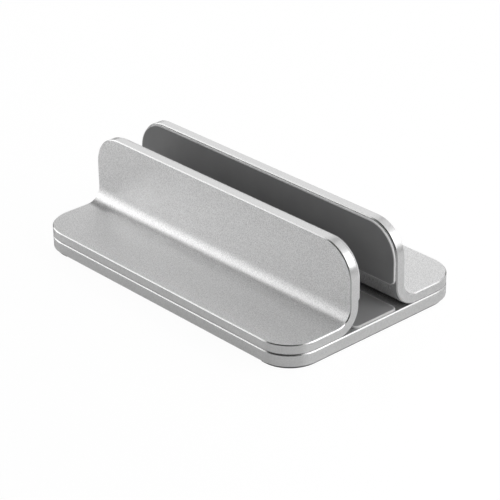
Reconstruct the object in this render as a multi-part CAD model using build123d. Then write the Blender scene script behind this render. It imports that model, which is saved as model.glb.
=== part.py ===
from build123d import *
import os

# Vertical laptop stand. A flat base plate carries two angle brackets that
# slide across it and are clamped from below with socket screws.
# Millimetres, +Z up, X along the slot for the laptop. The origin lies on the
# floor under the middle of the stand, brackets where they are pictured.

os.makedirs("parts", exist_ok=True)

# Overall sizes
stand_length = 175.0
stand_width = 108.0
corner_radius = 16.5
base_thickness = 6.0
edge_chamfer = 0.45

# Angle brackets, bent from one thickness of plate
sheet_thickness = 5.0
bracket_reach = 42.2
bend_inner_radius = 7.5
upright_rise = 41.0
upright_corner_radius = 16.5

# Silicone pads and foot strips, each on a die-cut adhesive film
film_thickness = 0.15
pad_thickness = 1.05
pad_inset = 0.7
pad_edge_chamfer = 0.3
pad_low_corner_radius = 3.0
pad_above_bend = 0.25
base_pad_width = 26.0
base_pad_corner_radius = 2.5
foot_thickness = 1.05
foot_inset = 1.3
foot_strip_width = 18.4
foot_inner_corner_radius = 1.5
foot_edge_chamfer = 0.25

# Clamp screws, M4 x 6 button head with a 2.5 mm hexagon socket
screw_x = 50.0
screw_from_edge = 20.0
screw_diameter = 4.0
screw_length = 6.0
screw_tip_chamfer = 0.45
head_diameter = 7.6
head_height = 2.2
head_rim_height = 0.35
head_flat_diameter = 3.7
hexagon_across_flats = 2.5
hexagon_depth = 1.3
washer_diameter = 9.0
washer_thickness = 0.8

# Travel of each bracket from the pictured place
travel_inward = 3.5
travel_outward = 10.5

# Clearances
thread_clearance = 0.05
washer_bore_clearance = 0.15
slot_clearance = 0.3
groove_clearance = 0.5
hole_end_clearance = 0.6
head_below_clearance = 0.4
groove_edge_chamfer = 0.25

# Heights
foot_rise = foot_thickness + film_thickness
base_bottom = foot_rise
base_top = base_bottom + base_thickness
bend_outer_radius = bend_inner_radius + sheet_thickness
bend_height = base_top + bend_outer_radius
upright_top = base_top + upright_rise
groove_depth = washer_thickness + head_height + head_below_clearance
groove_ceiling = base_bottom + groove_depth
washer_bottom = groove_ceiling - washer_thickness
screw_tip = washer_bottom + screw_length
hole_depth = screw_tip - base_top + hole_end_clearance

# Places across the stand
half_length = stand_length / 2
half_width = stand_width / 2
half_slot = half_width - bracket_reach
screw_y = half_width - screw_from_edge
slot_width = screw_diameter + 2 * slot_clearance
groove_width = washer_diameter + 2 * groove_clearance
slot_travel = travel_inward + travel_outward
slot_middle = screw_y + (travel_outward - travel_inward) / 2


def meeting_edges(solid):
    """Edges where two faces meet at an angle, without the smooth seams."""
    found = ShapeList()
    for edge in solid.edges():
        middle = edge.position_at(0.5)
        sides = [face for face in solid.faces() if edge in face.edges()]
        if len(sides) == 2:
            first = sides[0].normal_at(middle)
            second = sides[1].normal_at(middle)
            if first.get_angle(second) > 30:
                found.append(edge)
    return found


def edges_at_height(solid, height):
    """Edges that lie whole in one level plane."""
    return solid.edges().filter_by(
        lambda edge: abs(edge.bounding_box().min.Z - height) < 0.01
        and abs(edge.bounding_box().max.Z - height) < 0.01
    )


def plan_outline(inset):
    """Rounded plan outline of the base, drawn in by the inset."""
    return RectangleRounded(
        stand_length - 2 * inset, stand_width - 2 * inset, corner_radius - inset
    )


def upright_outline(inset, low_edge, low_radius):
    """Face of the upright seen from the slot, in the XZ plane."""
    high_edge = upright_top - inset
    half = half_length - inset
    high_radius = upright_corner_radius - inset
    with BuildSketch(Plane.XZ) as outline:
        with BuildLine():
            Polyline(
                (-half, low_edge), (half, low_edge), (half, high_edge),
                (-half, high_edge), (-half, low_edge),
            )
        make_face()
        fillet(
            outline.vertices().filter_by(lambda v: v.Y > high_edge - 0.01),
            high_radius,
        )
        if low_radius > 0:
            fillet(
                outline.vertices().filter_by(lambda v: v.Y < low_edge + 0.01),
                low_radius,
            )
    return outline.sketch


# Base plate: rounded outline, four cross slots, each with a wider groove
# below it for the screw head and washer
def make_base_plate():
    plate = extrude(
        Pos(0, 0, base_bottom) * plan_outline(0), amount=base_thickness
    )
    plate = chamfer(edges_at_height(plate, base_top), edge_chamfer)
    plate = chamfer(edges_at_height(plate, base_bottom), edge_chamfer)
    for side_x in (-1, 1):
        for side_y in (-1, 1):
            place = Pos(side_x * screw_x, side_y * slot_middle, base_bottom)
            groove = extrude(
                place * SlotCenterToCenter(slot_travel, groove_width, rotation=90),
                amount=groove_depth,
            )
            slot = extrude(
                place * SlotCenterToCenter(slot_travel, slot_width, rotation=90),
                amount=base_thickness,
            )
            plate = plate - groove - slot
    groove_ends = slot_middle + slot_travel / 2 + groove_width / 2
    rims = edges_at_height(plate, base_bottom).filter_by(
        lambda edge: abs(edge.bounding_box().max.Y) < groove_ends + 0.01
        and abs(edge.bounding_box().max.X) < screw_x + groove_width
    )
    return chamfer(rims, groove_edge_chamfer)


# Angle bracket on the +Y side: foot, bend and upright in one thickness
def make_rear_bracket():
    low, high = base_top, upright_top
    sheet = sheet_thickness
    with BuildPart() as bent:
        with BuildSketch(Plane.YZ):
            with BuildLine():
                Line((half_slot, high), (half_slot, bend_height))
                RadiusArc(
                    (half_slot, bend_height),
                    (half_slot + bend_outer_radius, low),
                    -bend_outer_radius,
                )
                Line((half_slot + bend_outer_radius, low), (half_width, low))
                Line((half_width, low), (half_width, low + sheet))
                Line(
                    (half_width, low + sheet),
                    (half_slot + bend_outer_radius, low + sheet),
                )
                RadiusArc(
                    (half_slot + bend_outer_radius, low + sheet),
                    (half_slot + sheet, bend_height),
                    bend_inner_radius,
                )
                Line((half_slot + sheet, bend_height), (half_slot + sheet, high))
                Line((half_slot + sheet, high), (half_slot, high))
            make_face()
        extrude(amount=half_length, both=True)
    bracket = bent.part
    plan = extrude(plan_outline(0), amount=upright_top + 1)
    face = extrude(upright_outline(0, 0, 0), amount=stand_width, both=True)
    bracket = bracket & plan & face
    bracket = chamfer(meeting_edges(bracket), edge_chamfer)
    for side_x in (-1, 1):
        place = Pos(side_x * screw_x, screw_y, base_top)
        radius = screw_diameter / 2 + thread_clearance
        bracket = bracket - extrude(place * Circle(radius), amount=hole_depth)
    return bracket


# Pad for the +Y upright with its film against the metal
def make_rear_pad_and_film():
    low_edge = bend_height + pad_above_bend
    outline = upright_outline(pad_inset, low_edge, pad_low_corner_radius)
    face_y = half_slot
    film = extrude(
        Pos(0, face_y, 0) * outline, amount=film_thickness
    )
    pad = extrude(
        Pos(0, face_y - film_thickness, 0) * outline, amount=pad_thickness
    )
    front = face_y - film_thickness - pad_thickness
    rim = pad.edges().filter_by(
        lambda edge: abs(edge.bounding_box().min.Y - front) < 0.01
        and abs(edge.bounding_box().max.Y - front) < 0.01
    )
    return chamfer(rim, pad_edge_chamfer), film


# Pad that lies on the base between the brackets
def make_base_pad_and_film():
    outline = RectangleRounded(
        stand_length - 2 * pad_inset, base_pad_width, base_pad_corner_radius
    )
    film = extrude(Pos(0, 0, base_top) * outline, amount=film_thickness)
    pad = extrude(
        Pos(0, 0, base_top + film_thickness) * outline, amount=pad_thickness
    )
    top = base_top + film_thickness + pad_thickness
    return chamfer(edges_at_height(pad, top), pad_edge_chamfer), film


# Foot strip under the +X end, its outer outline follows the base
def make_right_foot_and_film():
    inner_end = half_length - foot_inset - foot_strip_width
    zone = Pos(inner_end + stand_length / 2, 0) * Rectangle(
        stand_length, stand_width
    )
    outline = plan_outline(foot_inset) & zone
    inner = outline.vertices().filter_by(lambda v: v.X < inner_end + 0.01)
    outline = fillet(inner, foot_inner_corner_radius)
    film = extrude(
        Pos(0, 0, foot_thickness) * outline, amount=film_thickness
    )
    strip = extrude(outline, amount=foot_thickness)
    strip = chamfer(edges_at_height(strip, 0), foot_edge_chamfer)
    return strip, film


# Button head screw, tip up, bearing face of the head at the given height
def make_screw(at_x, at_y):
    half_head = head_diameter / 2
    half_flat = head_flat_diameter / 2
    # The dome is part of a ball whose centre lies on the screw's axis
    rise = head_height - head_rim_height
    below = (half_head**2 - half_flat**2 - rise**2) / (2 * rise)
    dome_radius = (half_head**2 + below**2) ** 0.5
    with BuildPart() as body:
        with BuildSketch(Plane.XZ):
            with BuildLine():
                Polyline((0, -head_height), (0, screw_length))
                Polyline(
                    (0, screw_length),
                    (screw_diameter / 2 - screw_tip_chamfer, screw_length),
                    (screw_diameter / 2, screw_length - screw_tip_chamfer),
                    (screw_diameter / 2, 0),
                    (half_head, 0),
                    (half_head, -head_rim_height),
                )
                RadiusArc(
                    (half_head, -head_rim_height),
                    (half_flat, -head_height),
                    dome_radius,
                )
                Line((half_flat, -head_height), (0, -head_height))
            make_face()
        revolve(axis=Axis.Z)
        with BuildSketch(Plane.XY.offset(-head_height)):
            RegularPolygon(hexagon_across_flats / 2, 6, major_radius=False)
        extrude(amount=hexagon_depth, mode=Mode.SUBTRACT)
    return Pos(at_x, at_y, washer_bottom) * body.part


# Flat washer between the screw head and the groove's ceiling
def make_washer(at_x, at_y):
    bore = screw_diameter / 2 + washer_bore_clearance
    ring = Circle(washer_diameter / 2) - Circle(bore)
    return extrude(Pos(at_x, at_y, washer_bottom) * ring, amount=washer_thickness)


def to_front(shape):
    """Half turn about the upright axis brings a rear piece to the front."""
    return Rot(0, 0, 180) * shape


rear_bracket = make_rear_bracket()
rear_pad, rear_pad_film = make_rear_pad_and_film()
base_pad, base_pad_film = make_base_pad_and_film()
right_foot, right_foot_film = make_right_foot_and_film()

pieces = {
    "base_plate": make_base_plate(),
    "base_pad": base_pad,
    "base_pad_film": base_pad_film,
    "right_foot_strip": right_foot,
    "right_foot_film": right_foot_film,
    "left_foot_strip": to_front(right_foot),
    "left_foot_film": to_front(right_foot_film),
    "rear_bracket": rear_bracket,
    "rear_bracket_pad": rear_pad,
    "rear_pad_film": rear_pad_film,
    "front_bracket": to_front(rear_bracket),
    "front_bracket_pad": to_front(rear_pad),
    "front_pad_film": to_front(rear_pad_film),
    "rear_right_screw": make_screw(screw_x, screw_y),
    "rear_left_screw": make_screw(-screw_x, screw_y),
    "front_right_screw": make_screw(screw_x, -screw_y),
    "front_left_screw": make_screw(-screw_x, -screw_y),
    "rear_washers": Compound(
        children=[make_washer(screw_x, screw_y), make_washer(-screw_x, screw_y)]
    ),
    "front_washers": Compound(
        children=[make_washer(screw_x, -screw_y), make_washer(-screw_x, -screw_y)]
    ),
}

for name, shape in pieces.items():
    export_step(shape, "parts/" + name + ".step")
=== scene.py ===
import math

import bmesh
import bpy
from mathutils import Matrix, Vector


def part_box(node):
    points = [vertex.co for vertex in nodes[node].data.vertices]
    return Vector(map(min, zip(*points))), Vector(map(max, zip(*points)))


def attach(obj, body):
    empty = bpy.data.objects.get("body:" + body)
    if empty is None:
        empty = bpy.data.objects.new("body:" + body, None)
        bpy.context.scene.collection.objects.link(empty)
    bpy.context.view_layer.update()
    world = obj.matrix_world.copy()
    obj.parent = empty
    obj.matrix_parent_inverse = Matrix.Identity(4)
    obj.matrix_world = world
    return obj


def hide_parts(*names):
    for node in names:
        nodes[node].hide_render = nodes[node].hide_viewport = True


# Vertical laptop stand: blasted aluminium with bright cut edges, grey silicone
# pads and foot strips, stainless clamp screws below. Metres, frame of the part.

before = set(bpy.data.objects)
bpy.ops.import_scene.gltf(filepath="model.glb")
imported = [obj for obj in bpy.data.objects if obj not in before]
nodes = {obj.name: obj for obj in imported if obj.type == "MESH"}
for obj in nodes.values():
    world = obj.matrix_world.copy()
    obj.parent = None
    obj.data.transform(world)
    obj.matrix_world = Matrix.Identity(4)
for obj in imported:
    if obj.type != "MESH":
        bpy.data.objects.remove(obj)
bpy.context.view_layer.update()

MM = 0.001
CORNER_RADIUS = 16.5 * MM
SHEET_THICKNESS = 5.0 * MM
BEND_INNER_RADIUS = 7.5 * MM
BEND_OUTER_RADIUS = BEND_INNER_RADIUS + SHEET_THICKNESS


# Camera

def make_camera():
    """Camera fitted to the photograph: direction, roll, distance and aim, in metres."""
    azimuth = math.radians(48.3125)
    elevation = math.radians(27.172)
    roll = math.radians(-1.1845)
    distance = 0.9877
    shift_right = 0.0023275
    shift_up = 0.0078925
    foot_rise = 0.0012
    sensor = 36.0
    focal_share = 4.20488
    right = Vector((math.cos(azimuth), math.sin(azimuth), 0))
    back = Vector((
        math.sin(azimuth) * math.cos(elevation),
        -math.cos(azimuth) * math.cos(elevation),
        math.sin(elevation),
    ))
    up = back.cross(right)
    turned_right = math.cos(roll) * right + math.sin(roll) * up
    turned_up = math.cos(roll) * up - math.sin(roll) * right
    place = (
        back * distance
        + turned_right * shift_right
        + turned_up * shift_up
        + Vector((0, 0, foot_rise))
    )
    data = bpy.data.cameras.new("camera")
    data.sensor_width = sensor
    data.lens = sensor * focal_share
    camera = bpy.data.objects.new("camera", data)
    bpy.context.scene.collection.objects.link(camera)
    camera.matrix_world = Matrix((
        (turned_right.x, turned_up.x, back.x, place.x),
        (turned_right.y, turned_up.y, back.y, place.y),
        (turned_right.z, turned_up.z, back.z, place.z),
        (0, 0, 0, 1),
    ))
    bpy.context.scene.camera = camera


make_camera()


# Node helpers

# Places of a mix node's two inputs and its output, by the kind of data
MIX_COLOR = (6, 7, 2)
MIX_VALUE = (2, 3, 0)


def grey(level):
    """Neutral colour of one level."""
    return (level, level, level)


def add(tree, kind, **settings):
    """New node with its settings given by name."""
    node = tree.nodes.new(kind)
    for name, value in settings.items():
        setattr(node, name, value)
    return node


def put(tree, value, entry):
    """Fills an input: a socket is linked, a colour or a number is set."""
    if isinstance(value, bpy.types.NodeSocket):
        tree.links.new(value, entry)
    elif isinstance(value, tuple):
        entry.default_value = (*value, 1.0)
    else:
        entry.default_value = value


def put_all(tree, node, values):
    """Fills a node's inputs by name."""
    for name, value in values.items():
        put(tree, value, node.inputs[name])


def new_material(name):
    """New material with its node tree and its principled shader."""
    material = bpy.data.materials.new(name)
    material.use_nodes = True
    tree = material.node_tree
    return material, tree, tree.nodes["Principled BSDF"]


def own_place(tree):
    """Coordinates of the object itself, which move with it."""
    return add(tree, "ShaderNodeTexCoord").outputs["Object"]


def math_node(tree, operation, first, second=0.0):
    """Math node; an input is a socket or a number."""
    node = add(tree, "ShaderNodeMath", operation=operation)
    put(tree, first, node.inputs[0])
    put(tree, second, node.inputs[1])
    return node.outputs[0]


def noise(tree, place, scale, detail=2.0, roughness=0.5):
    """Noise value over a place."""
    node = add(tree, "ShaderNodeTexNoise")
    put_all(tree, node, {
        "Vector": place, "Scale": scale, "Detail": detail, "Roughness": roughness,
    })
    return node.outputs["Fac"]


def spread(tree, value, out_low=0.0, out_high=1.0, low=0.3, high=0.7):
    """Value moved from one span to another and held at its ends."""
    node = add(tree, "ShaderNodeMapRange", clamp=True)
    put_all(tree, node, {
        "Value": value, "From Min": low, "From Max": high, "To Min": out_low, "To Max": out_high,
    })
    return node.outputs["Result"]


def mix_color(tree, share, first, second):
    """Mix of two colours by a share."""
    low, high, result = MIX_COLOR
    node = add(tree, "ShaderNodeMix", data_type="RGBA")
    put(tree, share, node.inputs["Factor"])
    put(tree, first, node.inputs[low])
    put(tree, second, node.inputs[high])
    return node.outputs[result]


def mix_value(tree, share, first, second):
    """Mix of two numbers by a share."""
    low, high, result = MIX_VALUE
    node = add(tree, "ShaderNodeMix", data_type="FLOAT")
    put(tree, share, node.inputs["Factor"])
    put(tree, first, node.inputs[low])
    put(tree, second, node.inputs[high])
    return node.outputs[result]


def tinted(tree, color, mask, share, level):
    """Colour moved by a share towards a grey level where the mask is."""
    return mix_color(tree, math_node(tree, "MULTIPLY", mask, share), color, grey(level))


def bump(tree, height, distance, strength):
    """Bumped normal from a height value; the strength is a socket or a number."""
    node = add(tree, "ShaderNodeBump")
    put_all(tree, node, {"Height": height, "Distance": distance, "Strength": strength})
    return node.outputs["Normal"]


# Edge masks

# Height above the base of the brackets' lower edge that is painted dark as shade, standing in for
# the shadow in the gap between bracket and base
SEAM_SHADE_HEIGHT = 0.65 * MM

# Size of the normal's component along an axis: on a chamfer it lies between the first two,
# and on a surface that runs along the axis it stays under the third
SLANT_LEAST = 0.5
SLANT_MOST = 0.87
ALONG_MOST = 0.3


def edge_masks(tree, bent):
    """Masks of the cut chamfers, of the rim round the plate's thickness and of the seam shade.

    The seam shade is painted shade along a bracket's lower edge, for the shadow in the gap above
    the base. A flat plate has no seam shade.
    """
    geometry = add(tree, "ShaderNodeNewGeometry")
    split = add(tree, "ShaderNodeSeparateXYZ")
    tree.links.new(geometry.outputs["True Normal"], split.inputs[0])
    sizes = {axis: math_node(tree, "ABSOLUTE", split.outputs[axis]) for axis in "XYZ"}

    def slanted(axis):
        beyond = math_node(tree, "GREATER_THAN", sizes[axis], SLANT_LEAST)
        short = math_node(tree, "LESS_THAN", sizes[axis], SLANT_MOST)
        return math_node(tree, "MULTIPLY", beyond, short)

    def along(axis):
        return math_node(tree, "LESS_THAN", sizes[axis], ALONG_MOST)

    if not bent:
        return slanted("Z"), along("Z"), None
    where = add(tree, "ShaderNodeSeparateXYZ")
    tree.links.new(own_place(tree), where.inputs[0])
    across = math_node(tree, "ABSOLUTE", where.outputs["Y"])
    height = where.outputs["Z"]
    plate_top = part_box("base_plate")[1].z
    bend_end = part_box("rear_bracket")[0].y + BEND_OUTER_RADIUS
    on_upright = math_node(tree, "GREATER_THAN", height, plate_top + BEND_OUTER_RADIUS)
    on_foot = math_node(tree, "GREATER_THAN", across, bend_end)
    on_either = math_node(tree, "MAXIMUM", on_upright, on_foot)
    on_bend = math_node(tree, "SUBTRACT", 1.0, on_either)

    def of_zones(upright, foot, bend):
        in_upright = math_node(tree, "MULTIPLY", on_upright, upright)
        in_foot = math_node(tree, "MULTIPLY", on_foot, foot)
        in_bend = math_node(tree, "MULTIPLY", on_bend, bend)
        return math_node(tree, "MAXIMUM", in_upright, math_node(tree, "MAXIMUM", in_foot, in_bend))

    end_face = math_node(tree, "GREATER_THAN", sizes["X"], SLANT_MOST)
    cut = of_zones(slanted("Y"), slanted("Z"), slanted("X"))
    rim = of_zones(along("Y"), along("Z"), end_face)
    # Painted shade: the lowest strip of the bracket is marked to be darkened as the shadow in the
    # seam above the base
    seam_shade = math_node(tree, "LESS_THAN", height, plate_top + SEAM_SHADE_HEIGHT)
    return cut, rim, seam_shade


# Materials

def blasted_aluminium(name, bent):
    """Fine bead-blasted, clear anodised aluminium with smoother rims and bright cut chamfers."""
    material, tree, shader = new_material(name)
    place = own_place(tree)
    cut, rim, seam_shade = edge_masks(tree, bent)
    grain = noise(tree, place, scale=1950.0, detail=1.0)
    cloud = noise(tree, place, scale=35.0)
    color = mix_color(tree, spread(tree, grain), grey(0.60), grey(0.95))
    color = tinted(tree, color, spread(tree, cloud), share=0.12, level=0.84)
    color = tinted(tree, color, rim, share=0.7, level=0.62)
    color = tinted(tree, color, cut, share=1.0, level=0.50)
    # Painted shade: the bracket's lower edge is darkened to stand in for the shadow in the seam
    # above the base
    if seam_shade is not None:
        color = tinted(tree, color, seam_shade, share=0.65, level=0.15)
    rim_rough = 0.30
    cut_rough = 0.24
    face_grit = 0.5
    face_rough = spread(tree, grain, 0.40, 0.50, low=0.25, high=0.75)
    rough = mix_value(tree, cut, mix_value(tree, rim, face_rough, rim_rough), cut_rough)
    grit = math_node(tree, "MULTIPLY", math_node(tree, "SUBTRACT", 1.0, cut), face_grit)
    put_all(tree, shader, {
        "Base Color": color,
        "Roughness": rough,
        "Normal": bump(tree, grain, distance=0.05 * MM, strength=grit),
        "Metallic": 1.0,
    })
    return material


def grey_silicone(name, low, high):
    """Matte grey silicone with a faint mould texture, between two colours."""
    material, tree, shader = new_material(name)
    place = own_place(tree)
    grain = noise(tree, place, scale=1800.0, detail=3.0, roughness=0.6)
    cloud = noise(tree, place, scale=60.0)
    put_all(tree, shader, {
        "Base Color": mix_color(tree, spread(tree, cloud), low, high),
        "Roughness": spread(tree, grain, 0.52, 0.62),
        "Normal": bump(tree, grain, distance=0.02 * MM, strength=0.3),
        "Sheen Weight": 0.7,
        "Sheen Roughness": 0.35,
    })
    return material


def adhesive_film(name):
    """Thin milky double-sided film."""
    material, tree, shader = new_material(name)
    fibre = noise(tree, own_place(tree), scale=900.0, detail=4.0, roughness=0.6)
    tone = spread(tree, fibre, low=0.35, high=0.65)
    put_all(tree, shader, {
        "Base Color": mix_color(tree, tone, grey(0.30), (0.36, 0.36, 0.35)),
        "Roughness": spread(tree, fibre, 0.4, 0.55),
    })
    return material


def turned_steel(name):
    """Plain stainless steel with a fine grain."""
    material, tree, shader = new_material(name)
    grain = noise(tree, own_place(tree), scale=3000.0, detail=3.0, roughness=0.6)
    put_all(tree, shader, {
        "Base Color": mix_color(
            tree, spread(tree, grain), (0.52, 0.52, 0.525), (0.62, 0.62, 0.625)
        ),
        "Roughness": spread(tree, grain, 0.22, 0.34),
        "Normal": bump(tree, grain, distance=0.01 * MM, strength=0.3),
        "Metallic": 1.0,
    })
    return material


base_metal = blasted_aluminium("base_blasted", False)
bracket_metal = blasted_aluminium("bracket_blasted", True)
pad_face = grey_silicone("pad_silicone_face", (0.27, 0.27, 0.273), (0.30, 0.30, 0.303))
# Painted highlight: the pads' walls, rounded upper edge and top border get a light colour that
# stands in for the light they catch
pad_edge_highlight = grey_silicone("pad_silicone_painted_highlight", grey(0.70), grey(0.76))
foot_face = grey_silicone("foot_silicone_grey", (0.16, 0.161, 0.163), (0.19, 0.191, 0.193))
film = adhesive_film("film_milky")
steel = turned_steel("steel_plain")


def dress(names, material):
    """Gives the named nodes a material."""
    for name in names:
        nodes[name].material_slots[0].material = material


dress(["base_plate"], base_metal)
dress(["front_bracket", "rear_bracket"], bracket_metal)
dress([name for name in nodes if name.endswith("film")], film)
dress([name for name in nodes if name.endswith(("screw", "washers"))], steel)


# Closed surfaces

def lofted(name, rings, materials):
    """Closed surface through rings of points; its smooth walls have the last material."""
    work = bmesh.new()
    loops = [[work.verts.new(point) for point in ring] for ring in rings]
    for lower, upper in zip(loops, loops[1:]):
        for index in range(len(lower)):
            following = (index + 1) % len(lower)
            wall = work.faces.new(
                (lower[index], lower[following], upper[following], upper[index])
            )
            wall.material_index = len(materials) - 1
            wall.smooth = True
    work.faces.new(list(reversed(loops[0])))
    work.faces.new(loops[-1])
    bmesh.ops.recalc_face_normals(work, faces=work.faces)
    mesh = bpy.data.meshes.new(name)
    work.to_mesh(mesh)
    work.free()
    for material in materials:
        mesh.materials.append(material)
    piece = bpy.data.objects.new(name, mesh)
    bpy.context.scene.collection.objects.link(piece)
    return piece


# Soft pieces

UNDER_EDGE = 0.08 * MM
# Width of the flat border round a pad's top that gets the walls' material; on the pads that is a
# light colour as painted highlight
EDGE_BORDER = 0.26 * MM
PAD_EDGE_RADIUS = 0.28 * MM
FOOT_EDGE_RADIUS = 0.3 * MM
PAD_INSET = 0.7 * MM
FOOT_INSET = 1.3 * MM
UPRIGHT_PAD_LOW_RADIUS = 3.0 * MM
UPRIGHT_PAD_HIGH_RADIUS = CORNER_RADIUS - PAD_INSET
BASE_PAD_RADIUS = 2.5 * MM
FOOT_INNER_RADIUS = 1.5 * MM
FOOT_OUTER_RADIUS = CORNER_RADIUS - FOOT_INSET
CORNER_STEPS = 14
EDGE_STEPS = 6


def rounded_outline(low, high, radii, inset):
    """Rectangle with four corner radii, drawn in by the inset, counterclockwise.

    The radii start at the low left corner.
    """
    corners = (
        (low[0], low[1], radii[0], 180), (high[0], low[1], radii[1], 270),
        (high[0], high[1], radii[2], 0), (low[0], high[1], radii[3], 90),
    )
    points = []
    for x, y, radius, start in corners:
        centre_x = x + radius if x == low[0] else x - radius
        centre_y = y + radius if y == low[1] else y - radius
        for step in range(CORNER_STEPS + 1):
            angle = math.radians(start + 90 * step / CORNER_STEPS)
            points.append((
                centre_x + (radius - inset) * math.cos(angle),
                centre_y + (radius - inset) * math.sin(angle),
            ))
    return points


def soft_levels(thickness, edge_radius):
    """Insets and heights of a die-cut pad: tiny lower edge, round upper edge, flat border; on the
    pads the walls, edge and border are coloured light as a painted highlight.
    """
    levels = [(UNDER_EDGE, 0.0), (0.0, UNDER_EDGE)]
    for step in range(EDGE_STEPS + 1):
        angle = math.radians(90 * step / EDGE_STEPS)
        levels.append((
            edge_radius * (1 - math.cos(angle)),
            thickness - edge_radius * (1 - math.sin(angle)),
        ))
    levels.append((edge_radius + EDGE_BORDER, thickness))
    return levels


def soft_piece(node, body, low, high, radii, levels, place, materials):
    """Pad in place of its plain solid; place turns a point and a level into a corner."""
    rings = [
        [place(a, b, level) for a, b in rounded_outline(low, high, radii, inset)]
        for inset, level in levels
    ]
    piece = lofted(node + "_soft", rings, materials)
    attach(piece, body)
    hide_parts(node)


def upright_pad(node, body, facing):
    """Silicone pad on an upright; facing is the sign of Y that it looks towards."""
    low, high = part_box(node)
    back_y = high.y if facing < 0 else low.y
    soft_piece(
        node, body,
        (low.x, low.z), (high.x, high.z),
        (UPRIGHT_PAD_LOW_RADIUS,) * 2 + (UPRIGHT_PAD_HIGH_RADIUS,) * 2,
        soft_levels(high.y - low.y, PAD_EDGE_RADIUS),
        lambda a, b, level: (a, back_y + facing * level, b),
        (pad_face, pad_edge_highlight),
    )


def flat_pad(node, upward, radii, edge_radius, materials):
    """Silicone pad or foot on the base; upward is the sign of Z that it looks towards."""
    low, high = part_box(node)
    back_z = low.z if upward > 0 else high.z
    soft_piece(
        node, "base",
        (low.x, low.y), (high.x, high.y), radii,
        soft_levels(high.z - low.z, edge_radius),
        lambda a, b, level: (a, b, back_z + upward * level),
        materials,
    )


upright_pad("rear_bracket_pad", "rear_bracket", -1)
upright_pad("front_bracket_pad", "front_bracket", 1)
flat_pad(
    "base_pad", 1,
    (BASE_PAD_RADIUS,) * 4, PAD_EDGE_RADIUS, (pad_face, pad_edge_highlight),
)
flat_pad(
    "right_foot_strip", -1,
    (FOOT_INNER_RADIUS, FOOT_OUTER_RADIUS, FOOT_OUTER_RADIUS, FOOT_INNER_RADIUS),
    FOOT_EDGE_RADIUS, (foot_face, foot_face),
)
flat_pad(
    "left_foot_strip", -1,
    (FOOT_OUTER_RADIUS, FOOT_INNER_RADIUS, FOOT_INNER_RADIUS, FOOT_OUTER_RADIUS),
    FOOT_EDGE_RADIUS, (foot_face, foot_face),
)


# Clamp screws

SCREW_RADIUS = 2.0 * MM
PITCH = 0.7 * MM
THREAD_DEPTH = 0.38 * MM
THREAD_START = 0.5 * MM
TIP_CHAMFER = 0.45 * MM
HEAD_HEIGHT = 2.2 * MM
HEAD_FLAT = 1.85 * MM
RIM_HEIGHT = 0.35 * MM
RIM_CHAMFER = 0.06 * MM
SOCKET_RADIUS = 1.25 * MM
SOCKET_DEPTH = 1.3 * MM
SOCKET_LEAD = 0.18 * MM
DRILL_CONE = 0.35 * MM

# Radii of the socket's drilled floor, of the cone's end and of its mouth, as shares of its own
DRILL_SHARE = 0.92
CONE_SHARE = 0.35
MOUTH_SHARE = 1.24

# Widths of a thread's crest or root and of its flank, as shares of the pitch
THREAD_FLAT = 0.125
THREAD_FLANK = 0.375

AROUND = 48
RINGS_A_PITCH = 12
DOME_STEPS = 10
SHARP_ANGLE = 32


def thread_radius(depth, turn):
    """Radius of the shank: 60 degree flanks between a flat crest and a flat root."""
    phase = (depth / PITCH - turn) % 1.0
    crest = SCREW_RADIUS
    root = SCREW_RADIUS - THREAD_DEPTH
    root_start = THREAD_FLAT + THREAD_FLANK
    root_end = root_start + THREAD_FLAT
    if phase < THREAD_FLAT:
        return crest
    if phase < root_start:
        return crest + (root - crest) * (phase - THREAD_FLAT) / THREAD_FLANK
    if phase < root_end:
        return root
    return root + (crest - root) * (phase - root_end) / THREAD_FLANK


def hexagon_radius(turn):
    """Radius of the hexagon socket's wall at a turn."""
    angle = (2 * math.pi * turn) % (math.pi / 3) - math.pi / 6
    return SOCKET_RADIUS / math.cos(angle)


def socket_levels(face_z):
    """Radii and heights of the socket, from the drilled cone to its mouth."""
    floor_z = face_z + SOCKET_DEPTH
    return [
        (SOCKET_RADIUS * CONE_SHARE, floor_z + DRILL_CONE),
        (SOCKET_RADIUS * DRILL_SHARE, floor_z),
        (hexagon_radius, floor_z),
        (hexagon_radius, face_z + SOCKET_LEAD),
        (SOCKET_RADIUS * MOUTH_SHARE, face_z),
    ]


def head_levels(head_radius, bearing):
    """Radii and heights of the domed head, from its flat to the bearing face."""
    rise = HEAD_HEIGHT - RIM_HEIGHT
    below = (head_radius ** 2 - HEAD_FLAT ** 2 - rise ** 2) / (2 * rise)
    ball = math.hypot(head_radius, below)
    start = math.acos(HEAD_FLAT / ball)
    stop = math.acos(head_radius / ball)
    levels = []
    for step in range(DOME_STEPS + 1):
        angle = start + (stop - start) * step / DOME_STEPS
        dome = ball * math.sin(angle) - below
        levels.append((ball * math.cos(angle), bearing - RIM_HEIGHT - dome))
    levels.append((head_radius, bearing - RIM_CHAMFER))
    levels.append((head_radius - RIM_CHAMFER, bearing))
    return levels


def shank_levels(bearing, tip_z):
    """Radii and heights of the threaded shank, from the bearing face to the chamfered tip."""
    length = tip_z - bearing
    threaded = length - THREAD_START
    steps = int(threaded / PITCH * RINGS_A_PITCH)
    levels = [(SCREW_RADIUS, bearing)]
    for step in range(steps + 1):
        depth = THREAD_START + threaded * step / steps
        limit = SCREW_RADIUS - TIP_CHAMFER + min(TIP_CHAMFER, length - depth)
        levels.append((
            lambda turn, depth=depth, limit=limit: min(thread_radius(depth, turn), limit),
            bearing + depth,
        ))
    return levels


def turned_ring(x, y, radius, z):
    """Points round an axis; the radius is a number or a function of the turn."""
    points = []
    for step in range(AROUND):
        turn = step / AROUND
        reach = radius(turn) if callable(radius) else radius
        angle = 2 * math.pi * turn
        points.append((x + reach * math.cos(angle), y + reach * math.sin(angle), z))
    return points


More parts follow.
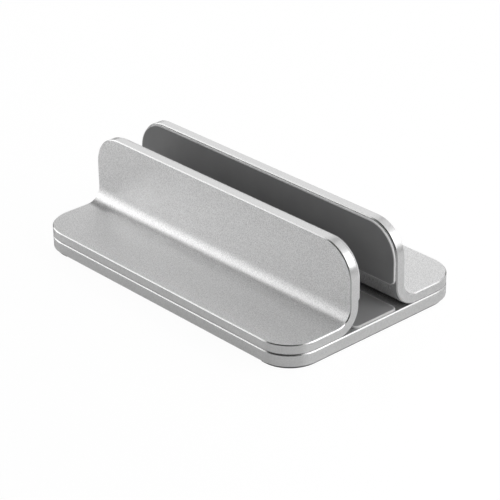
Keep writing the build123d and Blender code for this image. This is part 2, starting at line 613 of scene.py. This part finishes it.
def clamp_screw(node, body):
    """M4 button head screw with a cut thread and a hexagon socket, tip up."""
    low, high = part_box(node)
    centre_x = (low.x + high.x) / 2
    centre_y = (low.y + high.y) / 2
    bearing = low.z + HEAD_HEIGHT
    levels = socket_levels(low.z)
    levels += head_levels((high.x - low.x) / 2, bearing)
    levels += shank_levels(bearing, high.z)
    rings = [turned_ring(centre_x, centre_y, radius, z) for radius, z in levels]
    piece = lofted(node + "_cut", rings, (steel,))
    piece.data.shade_smooth()
    piece.data.set_sharp_from_angle(angle=math.radians(SHARP_ANGLE))
    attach(piece, body)
    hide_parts(node)


for side in ("rear", "front"):
    for end in ("right", "left"):
        name = side + "_" + end + "_screw"
        clamp_screw(name, name)


# Stage and light

FLOOR_SIZE = 12.0
FLOOR_DROP = 0.02 * MM
FLOOR_LEVEL = 0.82
FLOOR_ROUGHNESS = 0.3
FLOOR_GLOW = 1.03
FLOOR_CAMERA_SHARE = 0.93
FLOOR_MIRROR_SHARE = 0.18
WORLD_LEVEL = 0.12
WHITE = (1.0, 1.0, 1.0)
LAMP_AIM = Vector((0, 0, 20 * MM))

# Name, azimuth and elevation in degrees, distance, width and height in metres, radiance
SOFTBOXES = (
    ("back_right", 66, 22, 1.3, 1.2, 0.95, 1.0),
    ("back_left", 126, 24, 1.3, 1.15, 1.0, 1.0),
    ("right_back", 50, 34, 1.3, 0.42, 0.4, 1.0),
    ("right_near", 14, 28, 0.5, 0.34, 0.28, 3.4),
    ("left_key", 209, 15, 1.3, 0.4, 0.6, 1.8),
    ("left_fill", 228, 13, 1.3, 0.5, 0.6, 1.3),
    ("left_side", 190, 15, 1.3, 0.42, 0.6, 0.8),
    ("left_near", 196, 18, 0.5, 0.2, 0.25, 1.2),
    ("left_high", 217, 37, 1.3, 0.6, 0.36, 1.9),
    ("top_back", 74, 53, 1.2, 0.95, 0.42, 0.9),
    ("top", 225, 84, 1.3, 0.8, 0.8, 0.25),
)


def mixed_output(tree, output, share, first, second):
    """Ends a tree in a mix of two shaders."""
    mixer = add(tree, "ShaderNodeMixShader")
    tree.links.new(share, mixer.inputs[0])
    tree.links.new(first.outputs[0], mixer.inputs[1])
    tree.links.new(second.outputs[0], mixer.inputs[2])
    tree.links.new(mixer.outputs[0], tree.nodes[output].inputs["Surface"])


def make_floor():
    """White floor that shows as nearly plain white and keeps a faint shadow."""
    bpy.ops.mesh.primitive_plane_add(size=FLOOR_SIZE, location=(0, 0, -FLOOR_DROP))
    floor = bpy.context.object
    floor.name = "floor"
    material, tree, shader = new_material("floor_white")
    put_all(tree, shader, {"Base Color": grey(FLOOR_LEVEL), "Roughness": FLOOR_ROUGHNESS})
    white = add(tree, "ShaderNodeEmission")
    put_all(tree, white, {"Strength": FLOOR_GLOW})
    path = add(tree, "ShaderNodeLightPath").outputs
    mirrored = math_node(tree, "MAXIMUM", path["Is Glossy Ray"], path["Is Transmission Ray"])
    camera_share = math_node(tree, "MULTIPLY", path["Is Camera Ray"], FLOOR_CAMERA_SHARE)
    mirror_share = math_node(tree, "MULTIPLY", mirrored, FLOOR_MIRROR_SHARE)
    seen = math_node(tree, "MAXIMUM", camera_share, mirror_share)
    mixed_output(tree, "Material Output", seen, shader, white)
    floor.data.materials.append(material)


def make_world():
    """Even soft grey surroundings that the camera sees as white."""
    world = bpy.data.worlds.new("studio")
    world.use_nodes = True
    tree = world.node_tree
    soft = tree.nodes["Background"]
    put_all(tree, soft, {"Color": WHITE, "Strength": WORLD_LEVEL})
    white = add(tree, "ShaderNodeBackground")
    put_all(tree, white, {"Color": WHITE})
    path = add(tree, "ShaderNodeLightPath").outputs
    mixed_output(tree, "World Output", path["Is Camera Ray"], soft, white)
    bpy.context.scene.world = world


def softbox(name, azimuth, elevation, distance, width, height, radiance):
    """Area lamp aimed at the stand, with its radiance in place of its power."""
    data = bpy.data.lights.new(name, "AREA")
    data.shape = "RECTANGLE"
    data.size = width
    data.size_y = height
    data.energy = radiance * math.pi * width * height
    lamp = bpy.data.objects.new(name, data)
    around = math.radians(azimuth)
    rise = math.radians(elevation)
    toward = Vector((
        math.cos(rise) * math.cos(around), math.cos(rise) * math.sin(around), math.sin(rise),
    ))
    lamp.location = toward * distance + LAMP_AIM
    lamp.rotation_mode = "QUATERNION"
    lamp.rotation_quaternion = toward.to_track_quat("Z", "Y")
    bpy.context.scene.collection.objects.link(lamp)


make_floor()
make_world()
for box in SOFTBOXES:
    softbox(*box)

bpy.context.scene.view_settings.view_transform = "Standard"
